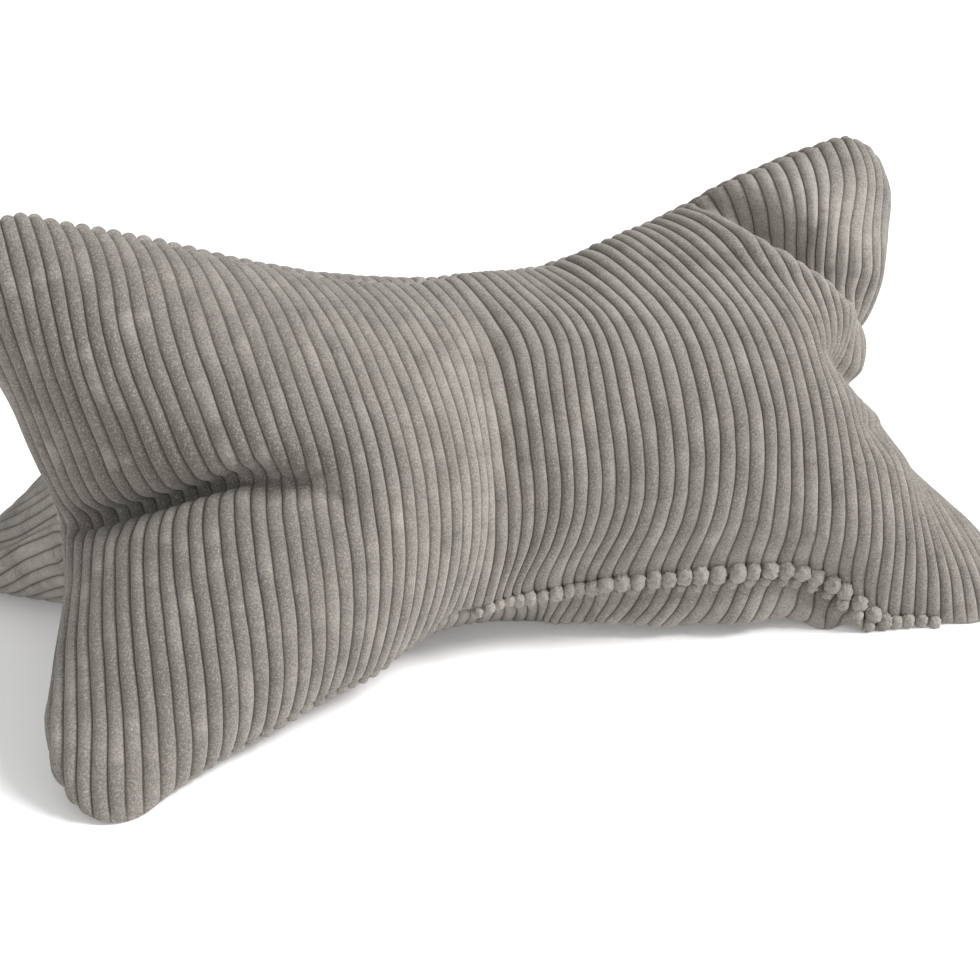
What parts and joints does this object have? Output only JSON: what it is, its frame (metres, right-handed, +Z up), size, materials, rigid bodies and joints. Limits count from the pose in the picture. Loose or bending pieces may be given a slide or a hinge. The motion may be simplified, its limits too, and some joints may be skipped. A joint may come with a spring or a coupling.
{
  "type": "bone-shaped reading pillow",
  "caption": "Stuffed bone-shaped neck and reading pillow in wide corduroy, three seams, a low waist and six soft corner lobes, lying on its base.",
  "frame": {"origin": "centre of the bounding box's bottom face, on the surface that the pillow lies on", "axes": "+X along the pillow's length, lobe to lobe; -Y is the side that the front panel faces; +Z is up, from the base panel to the top seam"},
  "size_m": [0.5494, 0.296, 0.2484],
  "materials": {
    "corduroy": "soft matt wide-rib corduroy, grey-taupe"
  },
  "bodies": {
    "root": {"pillow": "corduroy"}
  },
  "joints": []
}
